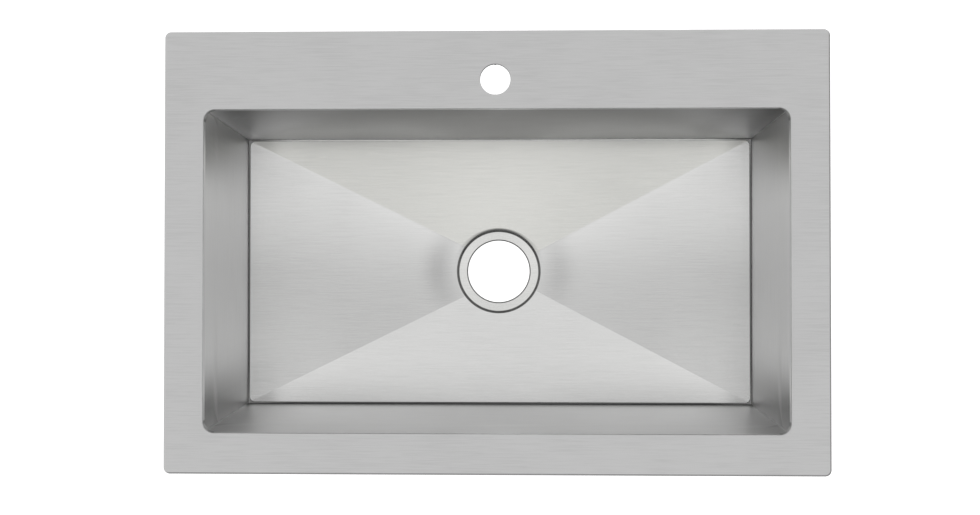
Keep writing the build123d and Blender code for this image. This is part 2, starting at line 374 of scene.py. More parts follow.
class Outline:
    """A rounded rectangle about a point of the middle line."""

    def __init__(self, half_x, half_y, corner, middle_y):
        self.half_x = half_x
        self.half_y = half_y
        self.corner = max(corner, least_corner)
        self.middle_y = middle_y

    def grown(self, by):
        """The same outline with its sides moved outwards."""
        return Outline(self.half_x + by, self.half_y + by, self.corner + by, self.middle_y)

    def round_corners(self, height, along_sides=()):
        """Points round the outline: on its corners, close beside them and further along its sides."""
        near = 4 * support
        along_x = [near, *(distance for distance in along_sides if distance < self.half_x - self.corner)]
        along_y = [near, *(distance for distance in along_sides if distance < self.half_y - self.corner)]
        points = []
        for quarter in range(4):
            first, last = (along_x, along_y) if quarter % 2 else (along_y, along_x)
            start = quarter * math.pi / 2
            side_x = 1 if quarter in (0, 3) else -1
            side_y = 1 if quarter in (0, 1) else -1
            centre = Vector((side_x * (self.half_x - self.corner),
                             self.middle_y + side_y * (self.half_y - self.corner), height))
            arc = [centre + self.corner * Vector((math.cos(turn), math.sin(turn), 0))
                   for turn in steps(start, start + math.pi / 2, corner_steps)]
            before = Vector((math.sin(start), -math.cos(start), 0))
            after = Vector((-math.cos(start), -math.sin(start), 0))
            points += [arc[0] + before * distance for distance in reversed(first)]
            points += arc
            points += [arc[-1] + after * distance for distance in last]
        return points

    def reach(self, angle):
        """The distance from the middle to the outline in one direction."""
        across = abs(math.cos(angle))
        along = abs(math.sin(angle))
        straight = min(self.half_x / max(across, least_share), self.half_y / max(along, least_share))
        corner_x = self.half_x - self.corner
        corner_y = self.half_y - self.corner
        if straight * across <= corner_x or straight * along <= corner_y:
            return straight
        middle = across * corner_x + along * corner_y
        return middle + math.sqrt(middle ** 2 - corner_x ** 2 - corner_y ** 2 + self.corner ** 2)

    def on_rays(self, height):
        """Points on the rays from the drain."""
        return round_middle([self.reach(angle) for angle in rays], rays, self.middle_y, height)

    def rings(self, profile):
        """Rings round the outline, from pairs of offset and height."""
        return [self.grown(offset).round_corners(height) for offset, height in profile]

    def ray_rings(self, profile):
        """Rings with their points on the rays, from pairs of offset and height."""
        return [self.grown(offset).on_rays(height) for offset, height in profile]


def drain_directions():
    """Directions of the rays' inner ends. On the left they aim past the drain's middle, as the creases do."""
    edge = Outline(floor_x, floor_half_y, floor_corner, 0.0)
    directions = []
    for angle in rays:
        from_left = abs(math.pi - angle)
        share = (math.pi / 2 - from_left) / (math.pi / 2 - crease_angle)
        aim = Vector((left_crease_lead * min(max(share, 0.0), 1.0), 0.0))
        outer = edge.reach(angle) * Vector((math.cos(angle), math.sin(angle)))
        inner = intersect_line_sphere_2d(aim, outer, Vector((0.0, 0.0)), shoulder)[0]
        directions.append(math.atan2(inner.y, inner.x))
    return directions


drain_rays = drain_directions()


def ray_circle(radius, height):
    """Points of a circle round the drain, one on each ray."""
    return round_middle([radius] * len(drain_rays), drain_rays, bowl_y, height)


def smoothed(mesh, angle):
    """A mesh that is smooth but for edges sharper than an angle."""
    mesh.shade_smooth()
    mesh.set_sharp_from_angle(angle=math.radians(angle))
    return mesh


class Shell:
    """Gathers the points and faces of one piece. Its grain map runs across and along its brushing."""

    def __init__(self):
        self.points = []
        self.faces = []
        self.grain = []

    def add(self, points):
        """Takes in points and gives the number of the first."""
        first = len(self.points)
        self.points.extend(points)
        return first

    def sweep(self, rings, closed=False, course=None):
        """Joins rings of equal count. The grain runs round them, unless course gives it."""
        count = len(rings[0])
        first = [self.add(ring) for ring in rings]
        around = [0.0]
        for number in range(count):
            around.append(around[-1] + (rings[0][(number + 1) % count] - rings[0][number]).length)
        across = [0.0]
        for ring, following in zip(rings, rings[1:] + rings[:1]):
            across.append(across[-1] + (following[0] - ring[0]).length)
        for step in range(len(rings) if closed else len(rings) - 1):
            low = first[step]
            high = first[(step + 1) % len(rings)]
            for number in range(count):
                following = (number + 1) % count
                face = (low + number, low + following, high + following, high + number)
                grain = ((across[step], around[number]), (across[step], around[number + 1]),
                         (across[step + 1], around[number + 1]), (across[step + 1], around[number]))
                if course:
                    middle = sum((self.points[corner] for corner in face), Vector()) / 4
                    grain = tuple(course(self.points[corner], middle) for corner in face)
                self.faces.append(face)
                self.grain.append(grain)

    def fill(self, *loops):
        """Fills a flat face inside the first loop and outside the others, with the grain along X."""
        points = [point for loop in loops for point in loop]
        first = self.add(points)
        for triangle in tessellate_polygon(loops):
            self.faces.append(tuple(first + corner for corner in triangle))
            self.grain.append(tuple((points[corner].y, points[corner].x) for corner in triangle))

    def block(self, rings):
        """Joins rings and fills the first and the last."""
        self.sweep(rings)
        self.fill(rings[0])
        self.fill(rings[-1])

    def wall(self, low, high):
        """Joins two open lines of points by a row of faces."""
        first = self.add(low)
        second = self.add(high)
        for number in range(len(low) - 1):
            self.faces.append((first + number, first + number + 1, second + number + 1, second + number))
            self.grain.append(((0, 0), (0, 1 * mm), (1 * mm, 1 * mm), (1 * mm, 0)))

    def mesh(self, name, sharp=sharp_angle):
        """The finished mesh: merged, facing outwards and smooth but for its sharp edges."""
        mesh = bpy.data.meshes.new(name)
        mesh.from_pydata([tuple(point) for point in self.points], [], self.faces)
        grain_map = mesh.uv_layers.new(name="grain")
        for polygon, corners in zip(mesh.polygons, self.grain):
            for loop, corner in zip(polygon.loop_indices, corners):
                grain_map.data[loop].uv = corner
        form = bmesh.new()
        form.from_mesh(mesh)
        bmesh.ops.remove_doubles(form, verts=form.verts, dist=merge_distance)
        bmesh.ops.dissolve_degenerate(form, edges=form.edges, dist=merge_distance)
        bmesh.ops.recalc_face_normals(form, faces=form.faces)
        form.to_mesh(mesh)
        form.free()
        return smoothed(mesh, sharp)


def with_painted_light(mesh, rule):
    """A mesh with light and shade painted into its steel's colour, a tint that the rule gives for each place.
    """
    polish = mesh.attributes.new("polish", "FLOAT_COLOR", "POINT")
    for vertex, entry in zip(mesh.vertices, polish.data):
        entry.color = (*rule(*vertex.co), 1.0)
    return mesh


def show(name, mesh, material, body, node, slot):
    """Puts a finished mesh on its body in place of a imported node."""
    piece = bpy.data.objects.new(name, mesh)
    bpy.context.scene.collection.objects.link(piece)
    mesh.materials.clear()
    mesh.materials.append(material)
    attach(piece, body)
    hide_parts(node)
    return piece


# Finishes

class Nodes:
    """A node tree that new nodes are added to."""

    def __init__(self, tree):
        self.tree = tree

    def node(self, kind, *feeds, **settings):
        """A new node. Feeds are pairs of its input and what feeds it, an output or a plain value."""
        made = self.tree.nodes.new(kind)
        for key, value in settings.items():
            setattr(made, key, value)
        for socket, source in feeds:
            if isinstance(source, bpy.types.NodeSocket):
                self.tree.links.new(source, made.inputs[socket])
            else:
                made.inputs[socket].default_value = source
        return made


def shade(colour, share):
    """A colour made lighter or darker."""
    return tuple(channel * share for channel in colour)


class Finish(Nodes):
    """A material's nodes round its principled shader."""

    def __init__(self, name, metallic, roughness):
        self.material = bpy.data.materials.new(name)
        self.material.use_nodes = True
        super().__init__(self.material.node_tree)
        self.shader = self.tree.nodes["Principled BSDF"]
        self.set("Metallic", metallic)
        self.set("Roughness", roughness)

    def set(self, socket, value):
        """Sets one of the shader's own sockets."""
        self.shader.inputs[socket].default_value = value

    def feed(self, output, socket):
        """Drives one of the shader's sockets by a pattern."""
        self.tree.links.new(output, self.shader.inputs[socket])

    def place(self):
        """The piece's own coordinates, in metres."""
        return self.node("ShaderNodeTexCoord").outputs["Object"]

    def course(self):
        """The ways across and along the brushing, in metres."""
        return self.node("ShaderNodeUVMap", uv_map="grain").outputs["UV"]

    def stretched(self, vector, scale):
        """Coordinates stretched before a pattern reads them."""
        return self.node("ShaderNodeMapping", ("Vector", vector), ("Scale", scale)).outputs["Vector"]

    def noise(self, vector, scale=1.0, detail=2.0, roughness=0.5):
        """A cloudy pattern from 0 to 1."""
        noise = self.node("ShaderNodeTexNoise", ("Vector", vector), ("Scale", scale),
                          ("Detail", detail), ("Roughness", roughness))
        return noise.outputs["Fac"]

    def cells(self, vector, scale, output="Distance"):
        """A pattern of cells."""
        return self.node("ShaderNodeTexVoronoi", ("Vector", vector), ("Scale", scale)).outputs[output]

    def between(self, pattern, low, high, spread=(0.3, 0.7)):
        """A value between low and high that follows a pattern over its spread."""
        remap = self.node("ShaderNodeMapRange", ("Value", pattern), ("From Min", spread[0]),
                          ("From Max", spread[1]), ("To Min", low), ("To Max", high))
        return remap.outputs["Result"]

    def sum(self, first, second, share):
        """The first pattern plus a share of the second."""
        scaled = self.node("ShaderNodeMath", (0, second), (1, share), (2, first), operation="MULTIPLY_ADD")
        return scaled.outputs["Value"]

    def tones(self, pattern, spread, colour, dark, light):
        """A colour that a pattern makes darker and lighter over its spread, by two shares of the colour."""
        ramp = self.node("ShaderNodeValToRGB", ("Fac", pattern))
        for element, place, share in zip(ramp.color_ramp.elements, spread, (dark, light)):
            element.position = place
            element.color = (*shade(colour, share), 1.0)
        return ramp.outputs["Color"]

    def times(self, first, second):
        """Two colours multiplied."""
        product = self.node("ShaderNodeVectorMath", (0, first), (1, second), operation="MULTIPLY")
        return product.outputs["Vector"]

    def relief(self, pattern, height, strength):
        """Bumps the surface by a pattern, from its low to its high by the given height."""
        bump = self.node("ShaderNodeBump", ("Height", pattern), ("Distance", height), ("Strength", strength))
        self.feed(bump.outputs["Normal"], "Normal")


def brushed_steel(name, colour, roughness, contrast, relief, anisotropy, streaks_along_x=False):
    """Stainless sheet brushed along its grain map, with short streaks, faint clouding and the light and shade
    painted on by its mesh.
    """
    steel = Finish(name, metallic=1.0, roughness=roughness)

    def brushing(across, along, detail, softness):
        """Fine lines along the brushing or along X, from how many there are in a metre both ways."""
        if streaks_along_x:
            lines = steel.stretched(steel.place(), (along, across, 0))
        else:
            lines = steel.stretched(steel.course(), (across, along, 1))
        return steel.noise(lines, detail=detail, roughness=softness)

    streaks = brushing(across=620, along=16, detail=3.0, softness=0.65)
    hairs = brushing(across=3200, along=45, detail=2.0, softness=0.5)
    clouds = steel.noise(steel.place(), scale=9.0)
    marks = steel.sum(steel.sum(streaks, hairs, share=0.5), clouds, share=0.35)
    streaked = steel.tones(marks, (0.72, 1.0), colour, dark=1 - contrast, light=1 + contrast)
    # The attribute read here holds the light and shade painted into the steel's colour by its mesh.
    polish = steel.node("ShaderNodeAttribute", attribute_name="polish").outputs["Color"]
    steel.feed(steel.times(streaked, polish), "Base Color")
    steel.feed(steel.between(hairs, low=0.94 * roughness, high=1.06 * roughness), "Roughness")
    steel.relief(hairs, height=0.004 * mm, strength=relief)
    tangent = steel.node("ShaderNodeTangent", direction_type="UV_MAP", uv_map="grain")
    steel.feed(tangent.outputs["Tangent"], "Tangent")
    steel.set("Anisotropic", anisotropy)
    return steel.material


def sprayed_coat():
    """A grey sprayed coat with a fine orange peel and darker specks."""
    spray = Finish("sprayed_coat", metallic=0.0, roughness=0.78)
    place = spray.place()
    grey = (0.30, 0.31, 0.31)
    peel = spray.noise(place, scale=420.0, detail=4.0, roughness=0.6)
    clouds = spray.noise(place, scale=14.0, detail=3.0)
    mixed = spray.sum(peel, clouds, share=0.8)
    spray.feed(spray.tones(mixed, (0.6, 1.0), grey, dark=0.8, light=1.15), "Base Color")
    spray.feed(spray.between(clouds, low=0.7, high=0.86), "Roughness")
    spray.relief(peel, height=0.5 * mm, strength=0.5)
    return spray.material


def bitumen():
    """A black damping pad with a dusty, slightly mottled face."""
    pad = Finish("bitumen", metallic=0.0, roughness=0.8)
    place = pad.place()
    black = (0.032, 0.032, 0.034)
    dust = pad.noise(place, scale=60.0, detail=5.0, roughness=0.7)
    pores = pad.noise(place, scale=900.0)
    mixed = pad.sum(dust, pores, share=0.4)
    pad.feed(pad.tones(mixed, (0.45, 0.95), black, dark=0.7, light=1.9), "Base Color")
    pad.feed(pad.between(dust, low=0.62, high=0.9), "Roughness")
    pad.relief(pores, height=0.15 * mm, strength=0.4)
    return pad.material


def foam():
    """Closed-cell foam tape, dark grey with open pores at its cut sides."""
    tape = Finish("seal_foam", metallic=0.0, roughness=0.92)
    place = tape.place()
    grey = (0.07, 0.07, 0.072)
    pores = tape.cells(place, scale=1100.0)
    clouds = tape.noise(place, scale=70.0, detail=3.0)
    mixed = tape.sum(pores, clouds, share=0.6)
    tape.feed(tape.tones(mixed, (0.3, 0.9), grey, dark=0.55, light=1.4), "Base Color")
    tape.relief(pores, height=0.25 * mm, strength=0.6)
    return tape.material


def galvanised():
    """Galvanised strip with its crystal flakes."""
    strip = Finish("galvanised_strip", metallic=1.0, roughness=0.42)
    place = strip.place()
    grey = (0.46, 0.47, 0.48)
    flakes = strip.cells(place, scale=130.0, output="Color")
    clouds = strip.noise(place, scale=40.0, detail=3.0)
    mixed = strip.sum(flakes, clouds, share=0.6)
    strip.feed(strip.tones(mixed, (0.3, 1.0), grey, dark=0.82, light=1.15), "Base Color")
    strip.feed(strip.between(mixed, low=0.34, high=0.52, spread=(0.2, 1.2)), "Roughness")
    strip.relief(clouds, height=0.05 * mm, strength=0.2)
    return strip.material


def zinc_plate(name, colour, roughness):
    """Zinc plate with a soft mottling and fine handling scratches."""
    plate = Finish(name, metallic=1.0, roughness=roughness)
    place = plate.place()
    mottle = plate.noise(place, scale=260.0, detail=4.0, roughness=0.6)
    scratches = plate.noise(plate.stretched(place, (90, 1500, 1500)))
    mixed = plate.sum(mottle, scratches, share=0.5)
    plate.feed(plate.tones(mixed, (0.5, 1.0), colour, dark=0.85, light=1.12), "Base Color")
    plate.feed(plate.between(mottle, low=roughness - 0.07, high=roughness + 0.1), "Roughness")
    plate.relief(scratches, height=0.02 * mm, strength=0.2)
    return plate.material


deck_steel = brushed_steel("deck_steel", (0.505, 0.505, 0.505), roughness=0.38, contrast=0.05, relief=0.24,
                           anisotropy=0.55)
wall_steel = brushed_steel("wall_steel", (0.84, 0.84, 0.84), roughness=0.42, contrast=0.03, relief=0.16,
                           anisotropy=0.0)
floor_steel = brushed_steel("floor_steel", (0.58, 0.58, 0.575), roughness=0.26, contrast=0.032, relief=0.12,
                            anisotropy=0.8, streaks_along_x=True)
coat_finish = sprayed_coat()
pad_finish = bitumen()
seal_finish = foam()
rail_finish = galvanised()
claw_finish = zinc_plate("claw_zinc", (0.46, 0.455, 0.44), roughness=0.36)
clip_finish = zinc_plate("bright_zinc", (0.55, 0.56, 0.58), roughness=0.28)
nut_finish = zinc_plate("cast_zinc", (0.36, 0.365, 0.37), roughness=0.4)


# Deck: a sheet turned down at its edge and round the bowl opening, with the tap hole

def wall_outline(height, corner):
    """The inside of the bowl's walls at a height."""
    share = (lip_bottom - height) / (lip_bottom - foot_z)
    return Outline(bowl_x - end_wall_draft * share, bowl_half_y - long_wall_draft * share, corner, bowl_y)


rim = Outline(rim_x, rim_y, rim_corner, 0.0)
mouth = wall_outline(lip_bottom, bowl_corner)
foot = wall_outline(foot_z, wall_corner)


def deck():
    """The rim's edge, the lip and the tap hole's edge, joined by the sheet's two faces."""
    inner_bend = edge_bend - sheet
    edge_inset = -sheet - inner_bend
    edge_profile = [(edge_inset - support, deck_under)]
    edge_profile += bend(edge_inset, deck_under - inner_bend, inner_bend, 90, 0)
    edge_profile += [(-sheet, 0.0), (0.0, 0.0)]
    edge_profile += bend(-edge_bend, rim_top - edge_bend, edge_bend, 0, 90)
    edge_profile += [(-edge_bend - support, rim_top)]
    edge = rim.rings(edge_profile)

    lip_profile = [(lip_bend + support, rim_top)]
    lip_profile += bend(lip_bend, rim_top - lip_bend, lip_bend, 90, 180)
    lip_profile += [(0.0, lip_bottom), (sheet, lip_bottom)]
    lip_profile += bend(lip_bend, rim_top - lip_bend, lip_bend - sheet, 180, 90)
    lip_profile += [(lip_bend + support, deck_under)]
    lip = mouth.rings(lip_profile)

    hole_profile = [(tap_hole + tap_edge + support, rim_top)]
    hole_profile += bend(tap_hole + tap_edge, rim_top - tap_edge, tap_edge, 90, 180)
    hole_profile += [(tap_hole, deck_under)]
    hole = turned(hole_profile, middle_y=tap_y)

    shell = Shell()
    for rings in (edge, lip, hole):
        shell.sweep(rings)
    shell.fill(edge[-1], lip[0], hole[0])
    shell.fill(edge[0], lip[-1], hole[-1])
    return with_painted_light(shell.mesh("deck"), deck_painted_light)


def deck_painted_light(x, y, z):
    """Painted light on the lip and painted shade in its corners, on the rim's edge at front and right, and on
    the tap hole's edge at back and left.
    """
    beside_mouth = abs(x) < bowl_x + 2 * sheet and abs(y - bowl_y) < bowl_half_y + 2 * sheet
    # Painted light on the lip, with painted shade where it turns round the bowl's corners.
    if beside_mouth and z < deck_under:
        in_corner = abs(x) > bowl_x - bowl_corner and abs(y - bowl_y) > bowl_half_y - bowl_corner
        return shade(plain_tint, lip_corner_painted_shade if in_corner else lip_painted_light)
    if beside_mouth:
        return plain_tint
    # Painted shade on the back and left of the tap hole's edge.
    from_tap = Vector((x, y - tap_y))
    if from_tap.length < tap_hole + tap_edge_share * tap_edge:
        facing = from_tap.normalized().dot(Vector(tap_shade_way))
        return shade(plain_tint, 1 - tap_edge_loss * max(facing, 0.0))
    # Painted shade on the rim's edge at front and right.
    out_x = math.copysign(max(abs(x) - rim_x + rim_corner, 0.0), x)
    out_y = math.copysign(max(abs(y) - rim_y + rim_corner, 0.0), y)
    on_edge = math.hypot(out_x, out_y) > rim_corner - rim_edge_width and z > rim_top - rim_edge_height
    facing = min(max((out_x - out_y) / rim_corner, 0.0), 1.0)
    return shade(plain_tint, 1 - rim_edge_loss * facing if on_edge else 1.0)


# Bowl: drafted walls, then a floor with a bend, a channel, four facets and the drain's recess

def corner_at(height):
    """The radius of the walls' corners at a height. They sharpen just below the lip."""
    sharpened = min((lip_bottom - height) / corner_blend, 1.0)
    return bowl_corner + (wall_corner - bowl_corner) * sharpened


def bowl_wall():
    """Four leaning walls, with points as close as their painted light and shade needs them."""
    heights = steps(lip_bottom, lip_bottom - corner_blend, lip_levels)
    heights += steps(lip_bottom - corner_blend, foot_z + 2 * front_foot_half, wall_levels)[1:]
    heights += steps(foot_z + 1.5 * front_foot_half, foot_z, foot_levels)
    levels = [(wall_outline(height, corner_at(height)), height) for height in heights]
    near_corners = steps(12 * mm, 120 * mm, 9)
    further_along = [160 * mm, *steps(200 * mm, 350 * mm, 5)]
    from_corners = near_corners + further_along
    inside = [outline.round_corners(height, from_corners) for outline, height in levels]
    outside = [outline.grown(sheet).round_corners(height, from_corners) for outline, height in levels]
    shell = Shell()
    shell.sweep(inside + outside[::-1], closed=True)
    return with_painted_light(shell.mesh("bowl_wall"), wall_painted_light)


def hump(distance, width):
    """A soft bump of height one, which is gone at about twice the width."""
    return math.exp(-(distance / width) ** 2)


def wall_painted_light(x, y, z):
    """Painted shade on the walls near their corners, on the long ones also under the lip and on the front one
    at its foot, with painted light at the corners' creases.
    """
    outline = wall_outline(z, wall_corner)
    from_end = outline.half_x - abs(x)
    from_side = outline.half_y - abs(y - bowl_y)

    def here(pair):
        """A value at this height, from the one under the lip and the one at the foot."""
        return pair[0] + (pair[1] - pair[0]) * (lip_bottom - z) / (lip_bottom - foot_z)

    # Painted shade along the end walls, near their corners.
    if from_end < from_side and y > bowl_y:
        painted_level = 1 - here(back_end_loss) * hump(from_side - here(back_end_from), here(back_end_half))
    elif from_end < from_side:
        painted_level = 1 - here(front_end_loss) * hump(from_side - here(front_end_from), here(front_end_half))
    # The back wall is painted darker under the lip and lighter at its foot, with painted shade near its
    # corners and painted light at their creases.
    elif y > bowl_y:
        loss, start, gain = back_left_loss, back_left_from, back_left_gain
        painted_level = here(back_wall_painted_light) * (1 - back_centre_loss * hump(x, wall_centre_half))
        if x > 0:
            loss, start, gain = back_right_loss, back_right_from, back_right_gain
            painted_level *= 1 - back_band_loss * hump(from_end - back_band_from, back_band_half)
        painted_level *= 1 - here(loss) * hump(from_end - here(start), back_corner_half)
        painted_level *= 1 + here(gain) * hump(from_end, here(crease_gain_half))
    # The front wall is painted lighter towards its foot, with painted shade near its corners and at its foot.
    else:
        painted_level = here(front_wall_painted_light) * (1 - front_corner_loss * hump(from_end, front_corner_half))
        painted_level *= 1 - front_centre_loss * hump(x, wall_centre_half)
        painted_level *= 1 + here(front_corner_gain) * hump(from_end, here(crease_gain_half))
        painted_level *= 1 - front_foot_loss * hump(z - foot_z, front_foot_half)
    # Painted shade in the walls' sharp corner strips.
    if max(from_end, from_side) < corner_at(z):
        painted_level *= wall_corner_painted_shade
    return shade(plain_tint, painted_level)


def end_share(x):
    """How far out a place lies towards the end of the floor: one at the edge, none where the creases meet."""
    lead = left_crease_lead if x < 0 else 0.0
    return (abs(x) + lead) / (floor_x + lead)


def facet_height(drop):
    """The height of the four facets over a place, lowered by drop. Their creases are slightly soft."""
    softness = crease_width * math.hypot(1 / floor_x, 1 / floor_half_y)

    def height(x, y):
        """The height over one place."""
        side = end_share(x)
        end = abs(y) / floor_half_y
        share = (side + end + math.sqrt((side - end) ** 2 + softness ** 2)) / 2
        return floor_edge_z - drop - floor_fall * (1 - share)

    return height


def channel_painted_light(x, y):
    """Painted shade in the channel round the floor and painted light along its back, both going over to one
    middle shade towards its corners.
    """
    before_end = max(floor_x - floor_corner - abs(x), 0.0)
    before_side = max(floor_half_y - floor_corner - abs(y), 0.0)
    plain = back_channel_painted_light if y > 0 else front_channel_painted_shade
    if before_end < before_side:
        plain = end_channel_painted_shade
    return plain + (channel_corner_painted_shade - plain) * hump(max(before_end, before_side), channel_corner_fade)


def drain_painted_light(from_drain, z):
    """Painted shade on the bends of the drain's recess and the edge of its hole, painted light on the seat
    between them.
    """
    if z < seat_z - drain_edge - slack:
        return 1.0
    if from_drain < drain_hole + drain_edge + slack:
        return drain_edge_painted_shade
    return seat_painted_light if from_drain < drain_radius - drain_seat_bend - slack else recess_painted_shade


def floor_painted_light(x, y, z):
    """Light and shade painted on the floor: shade in the channel and the drain's recess, and a different
    painted level on each facet.
    """
    y = y - bowl_y
    from_drain = math.hypot(x, y)
    below = facet_height(0.0)(x, y) - z
    side = end_share(x)
    end = abs(y) / floor_half_y
    on_underside = below > underside_from and from_drain > drain_radius + slack
    in_channel = max(side, end) > past_edge or below > channel_from
    if on_underside:
        return plain_tint
    # Painted light and shade in the drain's recess, with a faint warm tint.
    if from_drain < shoulder - slack:
        return shade(drain_tint, drain_painted_light(from_drain, z))
    # Painted shade in the channel round the floor.
    if in_channel:
        return shade(plain_tint, channel_painted_light(x, y))

    from_edge = floor_half_y - abs(y)
    central = hump(x, centre_half)
    tint = plain_tint
    # Painted light towards the floor's corners, then a painted level for each facet, with painted shade along
    # the front and back edges.
    painted_level = floor_corner_gain * math.exp(-math.hypot(floor_x - abs(x), from_edge) / floor_corner_fade)
    if end > side and y < 0:
        loss = front_edge_loss * (1 - front_centre_share * central)
        painted_level += front_facet_painted_light - loss * hump(from_edge, front_edge_half)
    elif end > side:
        # The back facet's painted light is a little warmer.
        tint = back_facet_tint
        loss = back_edge_loss * (1 - back_centre_share * central)
        painted_level += back_facet_painted_light + back_centre_gain * central - loss * hump(from_edge, back_edge_half)
    else:
        # Painted shade in a soft patch on each end facet beside the drain.
        ring = hump(from_drain - dip_shade_from_drain, dip_shade_half_width)
        dip_shade = ring * hump(y - dip_shade_rise, dip_shade_half_y)
        depth = dip_shade_right if x > 0 else dip_shade_left
        painted_level += end_facet_painted_shade + end_centre_gain * central
        # Painted light on the end facets along the creases that run to the back.
        painted_level += wedge_gain * math.exp((y - side * floor_half_y) / wedge_fade)
        painted_level *= 1 - depth * dip_shade
    # Painted shade at the back of the drain recess's edge.
    if from_drain < shoulder + support + slack:
        painted_level *= 1 - recess_back_loss * max(y / from_drain, 0.0) ** 2
    return shade(tint, painted_level)


def facet_course(point, middle):
    """The grain of the floor runs along X on the front and back facets and along Y on the end facets."""
    on_end_facet = end_share(middle.x) > abs(middle.y - bowl_y) / floor_half_y
    return (point.x, point.y) if on_end_facet else (point.y, point.x)


def tray_under(grow):
    """Rings under the floor's bend, from the facets' outer edge out and up to the foot, grown outwards."""
    flat_share = 1 - channel_depth / floor_fall
    flat = Outline(floor_x * flat_share, floor_half_y * flat_share, support, bowl_y)
    radius = floor_bend + grow
    profile = bend(grow - radius, channel_z + floor_bend, radius, -90, 0)
    return [flat.on_rays(channel_z - grow), *foot.ray_rings(profile)]


def bowl_floor():
    """The floor's bend, channel and facets, the drain's recess and hole, and the sheet's underside."""
    top = facet_height(0.0)
    step_foot = Outline(floor_x, floor_half_y, floor_corner, bowl_y)
    step_top = step_foot.grown(-channel_depth * math.tan(step_lean))
    foot_profile = bend(-floor_bend, channel_z + floor_bend, floor_bend, 0, -90)
    foot_rings = [foot.on_rays(foot_z)]
    foot_rings += foot.ray_rings(foot_profile)
    foot_rings += [step_foot.on_rays(channel_z), step_top.on_rays(top)]

    flat_edge = Outline(step_top.half_x - end_border, step_top.half_y - long_border, floor_corner, bowl_y)
    flat_ring = flat_edge.on_rays(top)
    shoulder_ring = ray_circle(shoulder, top)
    facet_rings = [step_top.on_rays(top), step_top.grown(-support).on_rays(top), flat_ring]
    shares_to_drain = (0.05, 0.1, 0.2, 0.45, 0.7, *steps(0.8, 0.98, 6))
    for share in shares_to_drain:
        ring = [outer.lerp(inner, share) for outer, inner in zip(flat_ring, shoulder_ring)]
        for point in ring:
            point.z = top(point.x, point.y - bowl_y)
        facet_rings.append(ring)
    facet_rings += [ray_circle(shoulder + support, top), shoulder_ring]

    def lowered(radius, by):
        """A ring of the recess that follows the edge of the facets at a depth below it."""
        return [Vector((point.x, point.y, edge.z - by))
                for point, edge in zip(ray_circle(radius, 0.0), shoulder_ring)]

    drain_rings = [lowered(shoulder - drain_shoulder * math.sin(turn), drain_shoulder * (1 - math.cos(turn)))
                   for turn in steps(0, math.pi / 2, bend_steps)]
    seat_edge = drain_radius - drain_seat_bend
    hole_edge = drain_hole + drain_edge
    drain_profile = bend(seat_edge, seat_z + drain_seat_bend, drain_seat_bend, 0, -90)
    drain_profile += [(seat_edge - support, seat_z), (hole_edge + support, seat_z)]
    drain_profile += bend(hole_edge, seat_z - drain_edge, drain_edge, 90, 180)
    drain_profile += [(drain_hole, seat_z - sheet), (drain_radius + sheet, seat_z - sheet)]
    drain_rings += [ray_circle(radius, height) for radius, height in drain_profile]
    drain_rings += [ray_circle(drain_radius + sheet, facet_height(sheet))]

    under_rings = [drain_rings[-1], *tray_under(sheet), foot.grown(sheet).on_rays(foot_z), foot_rings[0]]
    shell = Shell()
    shell.sweep(foot_rings)
    shell.sweep(facet_rings, course=facet_course)
    shell.sweep(drain_rings)
    shell.sweep(under_rings)
    return with_painted_light(shell.mesh("bowl_floor"), floor_painted_light)


def undercoat():
    """The sprayed skin on the outside of walls and floor, with soft edges at its top and round the drain."""
    heights = steps(foot_z, coat_high.z - coat_edge_bend, coat_levels)
    inside = [wall_outline(height, wall_corner).grown(sheet).on_rays(height) for height in heights]
    outside = [wall_outline(height, wall_corner).grown(skin).on_rays(height) for height in heights]
    top = wall_outline(coat_high.z, wall_corner)
    rings = [top.grown(sheet).on_rays(coat_high.z), top.grown(skin - coat_edge_bend).on_rays(coat_high.z)]
    rings += outside[::-1] + tray_under(skin)[::-1]
    rings += [ray_circle(coat_edge + coat_edge_bend, facet_height(skin))]
    rings += [ray_circle(coat_edge, facet_height(drop)) for drop in (skin - coat_edge_bend, sheet)]
    rings += tray_under(sheet) + inside
    shell = Shell()
    shell.sweep(rings, closed=True)
    return shell.mesh("undercoat")


show("sink_deck", deck(), deck_steel, "sink", "deck", "deck_steel")
show("sink_bowl_wall", bowl_wall(), wall_steel, "sink", "bowl_wall", "bowl_steel")
show("sink_bowl_floor", bowl_floor(), floor_steel, "sink", "bowl_floor", "bowl_steel")
show("sink_undercoat", undercoat(), coat_finish, "sink", "undercoat", "undercoat")


# What repeats is grown on a piece by geometry nodes

